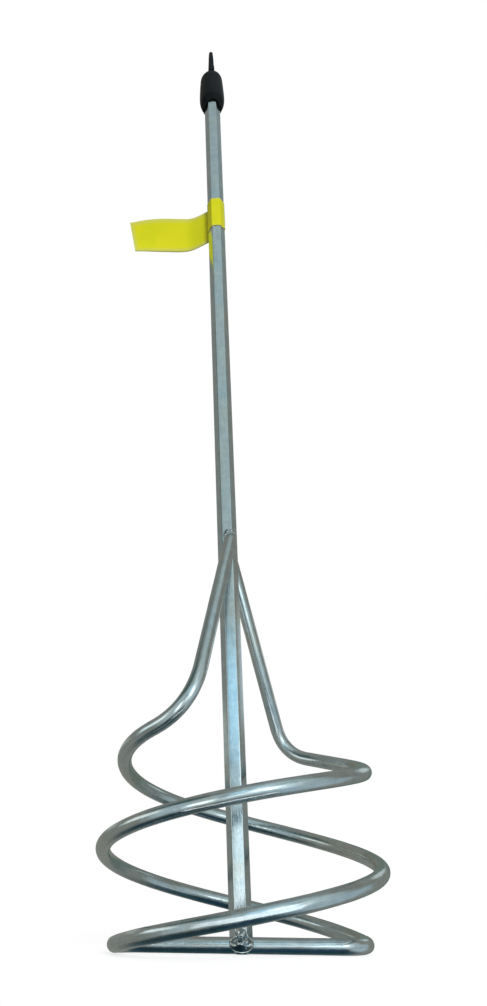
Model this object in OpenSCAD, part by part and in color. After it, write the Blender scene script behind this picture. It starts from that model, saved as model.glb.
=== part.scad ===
// Mortar mixing paddle: two round rods, wound as a double helix, are welded
// to a hexagonal drive shank. A soft hanging cap covers the drive end, and a
// paper size label is folded round the shank.
//
// Z runs up the shank's centre line. Z = 0 is the underside of the foot bar.
// The front rod is welded to the front flat (-Y), the back rod to the back
// flat (+Y), and each rod ends in its own half of the foot bar along X.

/* [Drive shank] */
// Width across the flats of the hexagonal bar
shank_af = 10; // [8:0.5:13]
// Length of the hexagonal bar from its foot to its drive end
shank_l = 600; // [450:10:750]
// Bevel round the drive end
shank_bevel = 1; // [0.5:0.1:1.5]

/* [Mixing cage] */
// Diameter of the two round rods
rod_d = 7.5; // [6:0.5:9]
// Nominal radius of the rods' centre lines
cage_r = 66; // [50:1:80]
// Height that a rod gains in one full turn
turn_rise = 90; // [70:1:120]
// Turns that a rod makes before it bends into its arm
helix_turns = 1.135; // [1.05:0.005:1.2]
// Share of a turn taken by the bend from the foot bar into the helix
corner_turns = 0.04; // [0.03:0.005:0.06]
// Share of a turn over which the helix lifts off the foot bar
lift_turns = 0.07; // [0.04:0.01:0.12]

/* [Arms] */
// Height of the front rod's welded end
front_weld_z = 214; // [190:1:260]
// Height of the back rod's welded end
back_weld_z = 220; // [190:1:260]
// Half-length of the bend between the helix and the front arm
front_knee = 27; // [15:1:30]
// Half-length of the bend between the helix and the back arm
back_knee = 17; // [12:1:30]
// How far a slanted rod end is let in towards the flat that it is welded to
arm_seat = 0.3; // [0:0.05:0.5]

/* [Welds] */
// How far the round foot weld laps over the shank's corners
foot_weld_lap = 0.6; // [0.3:0.1:1.5]
// How far the foot weld stands proud of the shank's flat
foot_weld_proud = 3; // [2:0.1:4]
// Diameter of one ripple of the bead over a rod's welded end
bead_d = 5; // [4:0.1:6]

/* [Hanging cap] */
// Wall of the cap beside the shank's corners, at the top of the sleeve
cap_wall = 2; // [1.5:0.1:3]
// How much the sleeve flares outwards towards its lip
cap_flare = 1.2; // [0:0.1:2]
// Length of shank that the cap covers
cap_grip = 35; // [25:1:45]
// Length of the tapered lip
cap_lip = 10; // [6:1:14]
// Wall at the lip's edge
cap_lip_wall = 0.7; // [0.5:0.1:1.2]
// Thickness of the cap over the shank's end
cap_crown = 3.3; // [2.5:0.1:5]
// Gap between the cap and the shank
cap_clearance = 0.15; // [0.05:0.05:0.3]
// Height of the hanging tab above the cap
tab_h = 21; // [16:0.5:26]
// Width of the hanging tab
tab_w = 13; // [11:0.5:16]
// Thickness of the hanging tab
tab_t = 3.2; // [2.5:0.1:4.5]
// Diameter of the hole to hang the paddle by
hang_hole_d = 6; // [4:0.5:7]
// Height of the hole's centre above the cap's crown
hang_hole_z = 7; // [5.5:0.5:9]

/* [Size label] */
// Height of the paper strip
label_h = 27; // [20:1:35]
// Height of the strip's lower edge
label_z = 447; // [300:1:500]
// Reach of the flag from the shank's centre line
flag_reach = 61; // [40:1:70]
// How far behind the shank's centre line the flag stands
flag_back = 11; // [9:0.5:14]
// Thickness of the strip round the shank
label_t = 0.4; // [0.2:0.1:0.6]
// Thickness of the doubled flag
flag_t = 0.6; // [0.4:0.1:1]

/* [Hidden] */

shank_corner_d = shank_af / cos(30);
rod_r = rod_d / 2;

// The rods are bent by hand, so each strays a little from the even helix. These
// are its strays in radius and in height at every quarter turn from the foot.
front_stray_r = [-4.5, 0.5, 4, -1, -7.5, -6.5];
front_stray_z = [0, -3.5, -3.5, 0.5, 1.5, 1];
back_stray_r = [-3.5, 0.5, 2.5, 1.5, -0.5, -5];
back_stray_z = [0, 0, 2, 1.5, -2, -1.5];
// Place of a rod's welded end, sideways of the middle of its flat
front_weld_x = 2;
back_weld_x = 1;

rod_sides = 14;
helix_steps = 78;
bend_steps = 9;

// --- Rods -----------------------------------------------------------------

function unit(v) = v / norm(v);

// Value at t turns of a list that holds one value per quarter turn, joined by
// cubic curves that pass through every value.
function quarter_value(v, t) =
    let (last = len(v) - 1,
         u = min(max(4 * t, 0), last - 0.000001),
         i = floor(u),
         f = u - i,
         before = v[max(i - 1, 0)],
         here = v[i],
         next = v[i + 1],
         after = v[min(i + 2, last)])
    here * (2 * pow(f, 3) - 3 * pow(f, 2) + 1)
    + (next - before) / 2 * (pow(f, 3) - 2 * pow(f, 2) + f)
    + next * (3 * pow(f, 2) - 2 * pow(f, 3))
    + (after - here) / 2 * (pow(f, 3) - pow(f, 2));

function helix_r(stray_r, t) = cage_r + quarter_value(stray_r, t);

// The helix leaves the foot bar softly, then climbs at an even rate.
function helix_z(stray_z, t) =
    rod_r + turn_rise * (sqrt(t * t + lift_turns * lift_turns) - lift_turns)
    + quarter_value(stray_z, t);

function helix_point(stray_r, stray_z, t) =
    [-helix_r(stray_r, t) * cos(360 * t),
     -helix_r(stray_r, t) * sin(360 * t),
     helix_z(stray_z, t)];

// Round corner between the foot bar and the start of the helix, tangent to both
function corner_points(stray_r, stray_z) =
    let (turned = 360 * corner_turns,
         start_r = helix_r(stray_r, corner_turns),
         bend_r = start_r * sin(turned) / (1 + sin(turned)),
         centre_x = -(start_r - bend_r) * cos(turned),
         climb = helix_z(stray_z, corner_turns) - rod_r)
    [for (i = [0:bend_steps - 1])
        let (share = i / bend_steps,
             a = 90 + share * (90 + turned))
        [centre_x + bend_r * cos(a), bend_r * sin(a) - bend_r,
         rod_r + climb * share * share]];

function helix_points(stray_r, stray_z) =
    [for (i = [0:helix_steps])
        helix_point(stray_r, stray_z,
                    corner_turns + (helix_turns - corner_turns) * i / helix_steps)];

// Bend of equal legs out of the helix's last direction, then a straight arm
function arm_points(stray_r, stray_z, knee, weld) =
    let (from = helix_point(stray_r, stray_z, helix_turns),
         short = helix_point(stray_r, stray_z, helix_turns - 0.002),
         crown = from + unit(from - short) * knee,
         straight = crown + unit(weld - crown) * knee)
    [for (i = [1:bend_steps])
        let (u = i / bend_steps)
        from * (1 - u) * (1 - u) + crown * 2 * u * (1 - u) + straight * u * u,
     (straight + weld) / 2,
     weld];

// A rod's centre line, from its end against the shank's foot to its welded top
function rod_path(stray_r, stray_z, knee, weld_x, weld_z) =
    concat([[-shank_corner_d / 2, 0, rod_r], [-cage_r / 2, 0, rod_r]],
           corner_points(stray_r, stray_z),
           helix_points(stray_r, stray_z),
           arm_points(stray_r, stray_z, knee,
                      [weld_x, arm_seat - shank_af / 2 - rod_r, weld_z]));

function path_directions(path) =
    [for (i = [0:len(path) - 1])
        unit(path[min(i + 1, len(path) - 1)] - path[max(i - 1, 0)])];

// Sideways direction at each point, carried along the path without twisting
function path_sides(dirs) =
    [for (i = 0, side = [0, 0, 1];
          i < len(dirs);
          i = i + 1,
          side = i < len(dirs) ? unit(side - dirs[i] * (side * dirs[i])) : side)
        side];

// Round rod along a path
module rod_along(path) {
    dirs = path_directions(path);
    sides = path_sides(dirs);
    rings = len(path);
    points = [for (i = [0:rings - 1], k = [0:rod_sides - 1])
        let (a = 360 * k / rod_sides)
        path[i] + rod_r * (cos(a) * sides[i] + sin(a) * cross(dirs[i], sides[i]))];
    walls = [for (i = [0:rings - 2], k = [0:rod_sides - 1])
        let (next = (k + 1) % rod_sides)
        [i * rod_sides + k, (i + 1) * rod_sides + k,
         (i + 1) * rod_sides + next, i * rod_sides + next]];
    first = [for (k = [0:rod_sides - 1]) k];
    last = [for (k = [rod_sides - 1:-1:0]) (rings - 1) * rod_sides + k];
    polyhedron(points, concat(walls, [first, last]), convexity = 8);
}

module front_rod() {
    color("lightsteelblue")
        rod_along(rod_path(front_stray_r, front_stray_z, front_knee,
                           front_weld_x, front_weld_z));
}

module back_rod() {
    color("lightsteelblue")
        rotate([0, 0, 180])
            rod_along(rod_path(back_stray_r, back_stray_z, back_knee,
                               back_weld_x, back_weld_z));
}

// --- Shank ----------------------------------------------------------------

// Hexagonal bar with two flats square to Y
module hex_bar(af, length) {
    cylinder(d = af / cos(30), h = length, $fn = 6);
}

module hex_shank() {
    rim_d = shank_corner_d + 2;
    color("lightsteelblue")
        difference() {
            hex_bar(shank_af, shank_l);
            translate([0, 0, shank_l - shank_bevel])
                rotate_extrude($fn = 72)
                    polygon([[shank_corner_d / 2, 0], [rim_d, 0],
                             [rim_d, shank_bevel + 1],
                             [shank_corner_d / 2 - shank_bevel - 1, shank_bevel + 1]]);
        }
}

// --- Welds ----------------------------------------------------------------

// A ripple is a small ball with flat sides, so that several of them join cleanly
ripple_sides = 12;

// Bead on the front flat: three ripples over the top of a rod's welded end, and
// two more that run up the flat
module top_bead(weld_x, weld_z) {
    middle_y = -(shank_af / 2 + bead_d / 3);
    for (row = [0:1], i = [0:2 - row])
        translate([weld_x + (i - (2 - row) / 2) * bead_d / 2, middle_y + row * bead_d / 6,
                   weld_z + bead_d * (0.2 + 0.6 * row)])
            sphere(d = bead_d, $fn = ripple_sides);
}

module front_top_weld() {
    color("silver") top_bead(front_weld_x, front_weld_z);
}

module back_top_weld() {
    color("silver") rotate([0, 0, 180]) top_bead(back_weld_x, back_weld_z);
}

foot_weld_r = shank_corner_d / 2 + foot_weld_lap;

// Round button over the joint of shank and foot bar, with a crater and a raised
// ring, drawn as a profile from its middle outwards
module foot_button() {
    root = rod_r * 0.6;
    top = shank_af / 2 + foot_weld_proud;
    rotate([90, 0, 0])
        rotate_extrude($fn = 48)
            polygon([[0, root], [foot_weld_r * 0.9, root], [foot_weld_r, shank_af * 0.4],
                     [foot_weld_r * 0.97, shank_af / 2 + foot_weld_proud * 0.35],
                     [foot_weld_r * 0.82, top - foot_weld_proud * 0.2],
                     [foot_weld_r * 0.6, top], [foot_weld_r * 0.38, top - foot_weld_proud * 0.15],
                     [foot_weld_r * 0.2, top - foot_weld_proud * 0.4],
                     [0, top - foot_weld_proud * 0.45]]);
}

// The button, with an ear onto each bar and a run of two ripples up the flat
module foot_bead() {
    union() {
        translate([0, 0, foot_weld_r]) foot_button();
        for (side = [-1, 1])
            translate([side * shank_corner_d / 2, -rod_r * 0.75, rod_r])
                sphere(d = bead_d * 0.65, $fn = ripple_sides);
        for (step = [0:1])
            translate([bead_d * (step - 0.5) / 3, -shank_af / 2,
                       2 * foot_weld_r - bead_d * (0.15 - 0.2 * step)])
                sphere(d = bead_d * 0.65, $fn = 32);
    }
}

module front_foot_weld() {
    color("silver") foot_bead();
}

module back_foot_weld() {
    color("silver") rotate([0, 0, 180]) foot_bead();
}

// --- Hanging cap ----------------------------------------------------------

bore_r = shank_corner_d / 2 + cap_clearance;
cap_top_r = bore_r + cap_wall;
cap_bottom_r = cap_top_r + cap_flare;
cap_z = shank_l - cap_grip;
crown_z = shank_l + cap_clearance;
dome_h = cap_crown + 4;
dome_steps = 10;

module cap_sleeve() {
    dome = [for (i = [0:dome_steps])
        let (a = 90 * i / dome_steps)
        [cap_top_r * cos(a), crown_z + cap_crown - dome_h * (1 - sin(a))]];
    rotate_extrude($fn = 96)
        polygon(concat([[0, crown_z], [bore_r, crown_z], [bore_r, cap_z],
                        [bore_r + cap_lip_wall, cap_z],
                        [cap_bottom_r - 0.3, cap_z + cap_lip * 0.7],
                        [cap_bottom_r, cap_z + cap_lip]], dome));
}

// Flat tab square to X with a round end and a round hole
module hang_tab() {
    tab_foot_z = crown_z + 1;
    end_z = crown_z + cap_crown + tab_h - tab_w / 2;
    hole_z = crown_z + cap_crown + hang_hole_z;
    difference() {
        union() {
            translate([-tab_t / 2, -tab_w / 2, tab_foot_z])
                cube([tab_t, tab_w, end_z - tab_foot_z]);
            translate([-tab_t / 2, 0, end_z])
                rotate([0, 90, 0]) cylinder(d = tab_w, h = tab_t, $fn = 64);
        }
        translate([-tab_t, 0, hole_z])
            rotate([0, 90, 0]) cylinder(d = hang_hole_d, h = 2 * tab_t, $fn = 64);
    }
}

module hang_cap() {
    color("dimgray")
        union() {
            cap_sleeve();
            hang_tab();
        }
}

// --- Size label -----------------------------------------------------------

// Height of a smooth step from 0 to 1
function ease(u) = u * u * (3 - 2 * u);

// Centre line of the flag, seen from above: it leaves the shank's back flat,
// swings backwards and runs out to the side.
flag_steps = 24;
flag_swing = 22;
flag_start_y = shank_af / 2 + flag_t / 2;
flag_line = [for (i = [0:flag_steps])
    let (x = flag_reach * i / flag_steps)
    [-x, flag_start_y + (flag_back - flag_start_y) * ease(min(x / flag_swing, 1))]];

module size_label() {
    color("yellow")
        translate([0, 0, label_z])
            linear_extrude(label_h)
                difference() {
                    union() {
                        circle(d = (shank_af + 2 * label_t) / cos(30), $fn = 6);
                        polygon(concat(
                            [for (p = flag_line) p + [0, flag_t / 2]],
                            [for (i = [flag_steps:-1:0]) flag_line[i] - [0, flag_t / 2]]));
                    }
                    circle(d = shank_corner_d, $fn = 6);
                }
}

hex_shank();
front_rod();
back_rod();
front_top_weld();
back_top_weld();
front_foot_weld();
back_foot_weld();
hang_cap();
size_label();
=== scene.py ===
# %% [markdown]
# # A mortar mixing paddle, rebuilt in Blender
#
# The real tool is a hexagonal steel shank with two round rods wound round its
# lower end as a double helix. Every joint is welded, and the whole thing is
# zinc plated after welding. A soft black cap covers the drive end, and a blank
# yellow paper label is folded round the shank. The CAD model gives each piece
# its size and place. Here the same pieces get smooth surfaces, real weld
# metal, curled paper and proper finishes.
#
# Everything is in metres, with the shank's centre line on Z and the underside
# of the foot bar at Z = 0.

# %% Load the CAD frame
import math
import bpy
import numpy as np
from mathutils import Matrix, Vector


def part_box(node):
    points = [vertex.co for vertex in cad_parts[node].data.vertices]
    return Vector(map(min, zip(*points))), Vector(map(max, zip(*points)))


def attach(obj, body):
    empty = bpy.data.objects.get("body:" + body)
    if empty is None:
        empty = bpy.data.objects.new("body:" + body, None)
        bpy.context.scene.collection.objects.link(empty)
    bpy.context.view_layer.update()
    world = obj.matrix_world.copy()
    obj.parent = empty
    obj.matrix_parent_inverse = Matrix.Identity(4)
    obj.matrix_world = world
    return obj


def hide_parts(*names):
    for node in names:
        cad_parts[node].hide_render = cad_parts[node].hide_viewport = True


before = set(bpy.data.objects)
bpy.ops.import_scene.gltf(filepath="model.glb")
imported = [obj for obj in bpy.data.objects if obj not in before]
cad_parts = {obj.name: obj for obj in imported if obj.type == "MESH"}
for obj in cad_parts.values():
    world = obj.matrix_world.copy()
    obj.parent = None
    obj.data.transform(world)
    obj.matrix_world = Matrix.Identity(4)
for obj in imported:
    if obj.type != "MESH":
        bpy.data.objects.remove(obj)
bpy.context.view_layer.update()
bpy.context.scene.view_settings.view_transform = "Standard"
MM = 0.001

# %% [markdown]
# ## Sizes
#
# The main sizes are the ones that the CAD model uses. The shank's length and
# width can be read from the frame itself, which keeps both models together if
# the CAD changes. The rods' route needs a few more numbers, because a mesh of
# flat facets can't tell us the exact centre line it was drawn along.

# %% Sizes
shank_low, shank_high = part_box("hex_shank")
SHANK_L = shank_high.z
SHANK_AF = shank_high.y - shank_low.y
ROD_R = 3.75 * MM
CAGE_R = 66 * MM
print("shank length", round(SHANK_L, 4), "across flats", round(SHANK_AF, 4))

# %% [markdown]
# ## Camera
#
# The paddle is seen from low down and looking up, from just above floor level.
# The camera is placed by its position and three angles, as a photographer
# would state them: yaw to the left, pitch upwards, and a very small roll. The
# lens is a little wide, and the frame is shifted sideways, so the paddle
# leans in the view although it stands upright.

# %% Camera
def camera_axes(yaw, pitch, roll):
    """Right, up and forward directions of a camera that starts out looking
    along +Y, turns by yaw about Z, tips up by pitch and rolls about its view."""
    forward = Vector((math.sin(yaw) * math.cos(pitch),
                      math.cos(yaw) * math.cos(pitch), math.sin(pitch)))
    level = Vector((math.cos(yaw), -math.sin(yaw), 0))
    upright = level.cross(forward)
    right = math.cos(roll) * level + math.sin(roll) * upright
    up = -math.sin(roll) * level + math.cos(roll) * upright
    return right, up, forward


def add_camera(place, angles, lens, sensor, shift_x):
    """A camera at a place, with its angles in degrees and its lens in mm."""
    right, up, forward = camera_axes(*[math.radians(a) for a in angles])
    data = bpy.data.cameras.new("camera")
    data.sensor_fit = "VERTICAL"
    data.sensor_height = sensor
    data.lens = lens
    data.shift_x = shift_x
    data.clip_start = 0.01
    camera = bpy.data.objects.new("camera", data)
    bpy.context.scene.collection.objects.link(camera)
    turned = Matrix((right, up, -forward)).transposed().to_4x4()
    turned.translation = place
    camera.matrix_world = turned
    bpy.context.scene.camera = camera
    return camera


camera = add_camera(place=Vector((0, -0.4751, 0.0271)), angles=(-6.091, 24.230, 0.518),
                    lens=30.937, sensor=36, shift_x=0.1010)
print("camera looks up by", round(math.degrees(camera.matrix_world.to_euler().x) - 90, 1))

# %% [markdown]
# ## Meshes from arrays
#
# Each new piece is a grid of points: rows run along the piece, and columns run
# round it. numpy works out all the points at once. One helper then joins
# neighbouring points with four-sided faces and closes both ends with a fan, so
# every piece is a closed skin. The same helper keeps a UV map in millimetres,
# with U along the piece and V round it, because the finishes need to know
# which way a bar was drawn. It also stores a mask that is high where the
# piece is rubbed. On the weld beads it also marks where a painted highlight
# goes, and on the label it marks painted light at the paper's edges.

# %% Mesh helpers
def distance_along(points):
    """Running length of a line through the points, from 0 at the first."""
    steps = np.linalg.norm(np.diff(points, axis=0), axis=1)
    return np.concatenate([[0], np.cumsum(steps)])


def grid_faces(rows, columns, ring=False):
    """Four-sided faces between each pair of rows, closed round the columns, and
    between the last row and the first too where the rows form a ring. Gives
    point numbers, and the same faces as rows and columns for the UV map."""
    r, c = np.meshgrid(np.arange(rows if ring else rows - 1), np.arange(columns), indexing="ij")
    r, c = r.ravel(), c.ravel()
    corner_rows = np.stack([r, r, r + 1, r + 1], 1)
    corner_columns = np.stack([c, c + 1, c + 1, c], 1)
    numbers = corner_rows % rows * columns + corner_columns % columns
    return numbers, corner_rows, corner_columns


def signed_volume(points, faces):
    """Volume inside the four-sided faces by the divergence theorem: the sum of
    each triangle's corners' triple product, divided by six."""
    total = 0.0
    for a, b, c in ((0, 1, 2), (0, 2, 3)):
        p, q, s = points[faces[:, a]], points[faces[:, b]], points[faces[:, c]]
        total += np.einsum("ij,ij->i", p, np.cross(q, s)).sum() / 6
    return total


def skin_piece(name, grid, wear_and_painted_light=None, ring=False):
    """A closed skin over a grid of points of shape (rows, columns, 3). U is the
    running length across the rows, V the running length round a row. A plain
    grid gets a fan over each end, and a ring of rows needs none."""
    rows, columns = grid.shape[:2]
    points = grid.reshape(-1, 3)
    faces, face_rows, face_columns = grid_faces(rows, columns, ring)
    lengthwise = np.concatenate([grid, grid[:1]]) if ring else grid
    along = distance_along(lengthwise[:, 0]) / MM
    across = np.linalg.norm(np.roll(grid, -1, axis=1) - grid, axis=2).max(axis=0)
    across = np.concatenate([[0], np.cumsum(across)]) / MM
    uv = np.stack([along[face_rows], across[face_columns]], 2).reshape(-1, 2)
    outward = signed_volume(points - points.mean(axis=0), faces) > 0
    all_faces = faces.tolist()
    wear_and_light_per_point = np.zeros(len(points)) if wear_and_painted_light is None else np.broadcast_to(wear_and_painted_light, (rows, columns)).ravel()
    if not ring:
        here = np.arange(columns)
        after = (here + 1) % columns
        last = (rows - 1) * columns
        low = np.stack([0 * here + rows * columns, after, here], 1)
        high = np.stack([0 * here + rows * columns + 1, last + here, last + after], 1)
        points = np.concatenate([points, grid[[0, -1]].mean(axis=1)])
        wear_and_light_per_point = np.append(wear_and_light_per_point, [0.5, 0.5])
        all_faces += low.tolist() + high.tolist()
        fan_v = np.stack([across[here], across[here + 1], across[here]], 1)
        for edge in (along[0], along[-1]):
            uv = np.concatenate([uv, np.stack([0 * fan_v + edge, fan_v], 2).reshape(-1, 2)])
    mesh = bpy.data.meshes.new(name)
    mesh.from_pydata(points, [], all_faces)
    mesh.uv_layers.new(name="drawn").data.foreach_set("uv", uv.ravel())
    if not outward:
        mesh.flip_normals()
    # The mask holds real wear on the rods and shank, a painted highlight on the weld beads, and painted
    # light on the label's edges.
    mesh.attributes.new("wear_and_painted_light", "FLOAT", "POINT").data.foreach_set("value", wear_and_light_per_point)
    mesh.polygons.foreach_set("use_smooth", np.ones(len(mesh.polygons), bool))
    mesh.update()
    piece = bpy.data.objects.new(name, mesh)
    bpy.context.scene.collection.objects.link(piece)
    print(f"{name}: {len(points)} points, {len(all_faces)} faces")
    return piece


def unit(v):
    """Vectors scaled to length 1."""
    return v / np.linalg.norm(v, axis=-1, keepdims=True)


def smooth_step(x, low, high):
    """0 below low, 1 above high and a smooth cubic 3u^2 - 2u^3 between them."""
    u = np.clip((x - low) / (high - low), 0, 1)
    return u * u * (3 - 2 * u)


def bump(x, centre, width):
    """Bell curve exp(-((x - centre) / width)^2)."""
    return np.exp(-((x - centre) / width) ** 2)


def angle_off(angle, middle, turn=2 * np.pi):
    """Signed angle from a middle direction, between minus and plus half a turn."""
    return (angle - middle + turn / 2) % turn - turn / 2


def around_z(radius, angle, z):
    """Points at a radius, an angle and a height round the Z axis."""
    return np.stack([radius * np.cos(angle), radius * np.sin(angle), z], 2)


def curve_at(values, place):
    """Catmull-Rom cubic through values that stand 1 apart, with the first at 0."""
    v = np.asarray(values, float)
    place = np.clip(place, 0, len(v) - 1.000001)
    i = place.astype(int)
    f = place - i
    before, here = v[np.maximum(i - 1, 0)], v[i]
    after, beyond = v[i + 1], v[np.minimum(i + 2, len(v) - 1)]
    return (here * (2 * f**3 - 3 * f**2 + 1) + (after - before) / 2 * (f**3 - 2 * f**2 + f)
            + after * (3 * f**2 - 2 * f**3) + (beyond - here) / 2 * (f**3 - f**2))


def ripples(a, b, seed, octaves=4):
    """Smooth irregular waviness between about -1 and 1 over two coordinates: a
    sum of sine waves whose directions and phases come from a seeded generator,
    each octave twice as fine and half as high as the one before."""
    rng = np.random.default_rng(seed)
    total = np.zeros(np.broadcast(a, b).shape)
    for octave in range(octaves):
        for wave in range(4):
            turn, phase = rng.uniform(0, 2 * np.pi, 2)
            total = total + np.sin(2 ** octave * (np.cos(turn) * a + np.sin(turn) * b)
                                   + phase) / 2 ** octave / 4
    return total

# %% [markdown]
# ## The two rods
#
# Each rod is one length of round bar. It starts against the shank, runs out
# along the floor as half of the foot bar, turns a corner, climbs a little more
# than one turn round the shank, and bends inwards and upwards to its weld. The
# rods are bent by hand on a former, so their radius and height stray a little
# from the perfect helix. Those strays are given once for each quarter turn and
# joined by smooth cubic curves, as in the CAD model.
#
# The skin is a circle carried along this centre line. No part of the rod runs
# straight up, so the sideways direction at each point can be taken from Z,
# which avoids any twist.

# %% Centre line of a rod
TURN_RISE = 90 * MM
TURNS = 1.135
CORNER_TURNS = 0.04
LIFT_TURNS = 0.07
ARM_SEAT = 0.3 * MM
FRONT = {"stray_r": [-4.5, 0.5, 4, -1, -7.5, -6.5], "stray_z": [0, -3.5, -3.5, 0.5, 1.5, 1],
         "knee": 27 * MM, "weld_x": 2 * MM, "weld_z": 214 * MM}
BACK = {"stray_r": [-3.5, 0.5, 2.5, 1.5, -0.5, -5], "stray_z": [0, 0, 2, 1.5, -2, -1.5],
        "knee": 17 * MM, "weld_x": 1 * MM, "weld_z": 220 * MM}


def quarter_value(values, turns):
    """Smooth curve through one value in millimetres per quarter turn."""
    return curve_at(np.array(values) * MM, 4 * turns)


def helix(rod, turns):
    """Points of the helix: radius R + stray, angle 360 degrees a turn starting
    at -X, and height rise * (sqrt(t^2 + lift^2) - lift) + stray."""
    turns = np.atleast_1d(turns)
    radius = CAGE_R + quarter_value(rod["stray_r"], turns)
    climb = TURN_RISE * (np.sqrt(turns**2 + LIFT_TURNS**2) - LIFT_TURNS)
    height = ROD_R + climb + quarter_value(rod["stray_z"], turns)
    angle = 2 * np.pi * turns
    return np.stack([-radius * np.cos(angle), -radius * np.sin(angle), height], 1)


def rod_line(rod, step=1 * MM):
    """The whole centre line at even steps: foot bar, round corner, helix, a
    quadratic bend at the knee, and the straight arm up to the weld."""
    turned = 2 * np.pi * CORNER_TURNS
    start = helix(rod, CORNER_TURNS)[0]
    start_r = math.hypot(start[0], start[1])
    bend_r = start_r * math.sin(turned) / (1 + math.sin(turned))
    centre_x = -(start_r - bend_r) * math.cos(turned)
    share = np.linspace(0, 1, 30, endpoint=False)
    angle = np.pi / 2 + share * (np.pi / 2 + turned)
    corner = np.stack([centre_x + bend_r * np.cos(angle), bend_r * np.sin(angle) - bend_r,
                       ROD_R + (start[2] - ROD_R) * share**2], 1)
    bar_x = np.linspace(-1.5 * MM, centre_x, 44, endpoint=False)
    bar = np.stack([bar_x, 0 * bar_x, ROD_R + 0 * bar_x], 1)
    turns = helix(rod, np.linspace(CORNER_TURNS, TURNS, 600))
    heading = unit(turns[-1] - helix(rod, TURNS - 0.002)[0])
    crown = turns[-1] + heading * rod["knee"]
    weld = np.array([rod["weld_x"], ARM_SEAT - SHANK_AF / 2 - ROD_R, rod["weld_z"]])
    straight = crown + unit(weld - crown) * rod["knee"]
    u = np.linspace(0, 1, 50)[1:, None]
    knee = turns[-1] * (1 - u)**2 + crown * 2 * u * (1 - u) + straight * u**2
    arm = straight + (weld - straight) * np.linspace(0, 1, 80)[1:, None]
    line = np.concatenate([bar, corner, turns, knee, arm])
    length = distance_along(line)
    even = np.linspace(0, length[-1], int(length[-1] / step))
    return np.stack([np.interp(even, length, line[:, k]) for k in range(3)], 1)


front_line = rod_line(FRONT)
back_line = rod_line(BACK)
print("rod lengths in mm:", [round(distance_along(l)[-1] / MM) for l in (front_line, back_line)])

# %% Rods
TIP_LENGTH = 1.6 * MM
TIP_SHRINK = 0.38


def rod_piece(name, line, turned, seed, sides=40):
    """Circle of the rod's radius carried along its line. The radius wavers by a
    few hundredths of a millimetre, shrinks by a rounding at the welded end, and
    is pressed a little flat on the inside of tight bends, where the former held it."""
    length = distance_along(line)
    heading = unit(np.gradient(line, axis=0))
    side = unit(np.array([0, 0, 1]) - heading * heading[:, 2:3])
    across = np.cross(heading, side)
    angle = np.linspace(0, 2 * np.pi, sides, endpoint=False)
    out = side[:, None] * np.cos(angle)[:, None] + across[:, None] * np.sin(angle)[:, None]
    bend = np.gradient(heading, length, axis=0)
    sharp = np.linalg.norm(bend, axis=1)
    inside = np.einsum("ijk,ik->ij", out, bend / (sharp[:, None] + 1e-9))
    pressed = smooth_step(sharp, 16, 60)[:, None] * (0.10 * inside**2 - 0.16 * np.clip(inside, 0, 1)**2)
    waver = 0.03 * ripples(length[:, None] / MM * 0.5, 3 * angle[None], seed)
    radius = ROD_R + (waver + pressed) * MM
    to_end = (length[-1] - length)[:, None]
    tip = np.sqrt(np.clip(1 - (1 - np.clip(to_end / TIP_LENGTH, 0, 1))**2, 0, 1))
    radius = radius - (ROD_R * TIP_SHRINK) * (1 - tip)
    grid = line[:, None] + out * radius[..., None]
    if turned:
        grid = grid * [-1, -1, 1]
    wear_and_painted_light = smooth_step(np.abs(out[..., 2]), 0.2, 1) * 0.3 + smooth_step(sharp, 10, 40)[:, None] * 0.5
    return skin_piece(name, grid, np.clip(wear_and_painted_light, 0, 1))


front_rod = rod_piece("front_rod_drawn", front_line, False, seed=1)
back_rod = rod_piece("back_rod_drawn", back_line, True, seed=2)

# %% [markdown]
# ## The shank
#
# A drawn hexagonal bar never has sharp corners: the die leaves a small
# rounding, which catches the light as a thin line along each edge. The profile
# is a hexagon whose corners are arcs, carried up Z, and the drive end gets the
# turned bevel that helps it into a chuck.

# %% Shank
def rounded_hexagon(across_flats, corner_radius, per_corner=7, per_flat=5):
    """Outline of a hexagon with two flats square to Y: six arcs of 60 degrees
    whose centres lie on a smaller hexagon, joined by flats that drawing has left
    a twentieth of a millimetre proud in their middles. Also gives how near each
    point is to a corner's middle."""
    centre_r = (across_flats / 2 - corner_radius) / math.cos(math.radians(30))
    middle = np.radians(60.0 * np.arange(6))[:, None]
    swing = np.linspace(-30, 30, per_corner)[None]
    angle = middle + np.radians(swing)
    arc = np.stack([centre_r * np.cos(middle) + corner_radius * np.cos(angle),
                    centre_r * np.sin(middle) + corner_radius * np.sin(angle)], 2)
    start, end = arc[:, -1:], np.roll(arc, -1, axis=0)[:, :1]
    t = (np.arange(1, per_flat + 1) / (per_flat + 1))[None, :, None]
    normal = np.stack([np.cos(middle + math.pi / 6), np.sin(middle + math.pi / 6)], 2)
    flat = start + (end - start) * t + normal * 0.05 * MM * (1 - (2 * t - 1)**2)
    near = np.concatenate([1 - np.abs(swing[0]) / 30, np.zeros(per_flat)])
    return np.concatenate([arc, flat], 1).reshape(-1, 2), np.tile(near, 6)


BEVEL = 1.2 * MM
MELTED = 2 * MM


def shank_piece():
    """The hexagon carried from the foot to the drive end, shrunk over the last
    millimetre by the bevel and over the first two at the foot, where it melted."""
    outline, corner = rounded_hexagon(SHANK_AF, 0.55 * MM)
    z = np.concatenate([[0, 0.2, 0.5, 1, 1.5], np.linspace(2, 598, 299),
                        [598.6, 599, 599.4, 599.8, 600]]) * MM
    z = z / (600 * MM) * SHANK_L
    end = np.clip((z - (SHANK_L - BEVEL)) / BEVEL, 0, 1)
    start = np.clip(1 - z / MELTED, 0, 1)
    scale = 1 - 0.16 * end - 0.32 * start
    grid = np.zeros((len(z), len(outline), 3))
    grid[..., :2] = outline[None] * scale[:, None, None]
    grid[..., 2] = z[:, None]
    wear_and_painted_light = np.broadcast_to(corner[None], grid.shape[:2]).copy()
    return skin_piece("hex_shank_drawn", grid, wear_and_painted_light)


shank = shank_piece()

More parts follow.
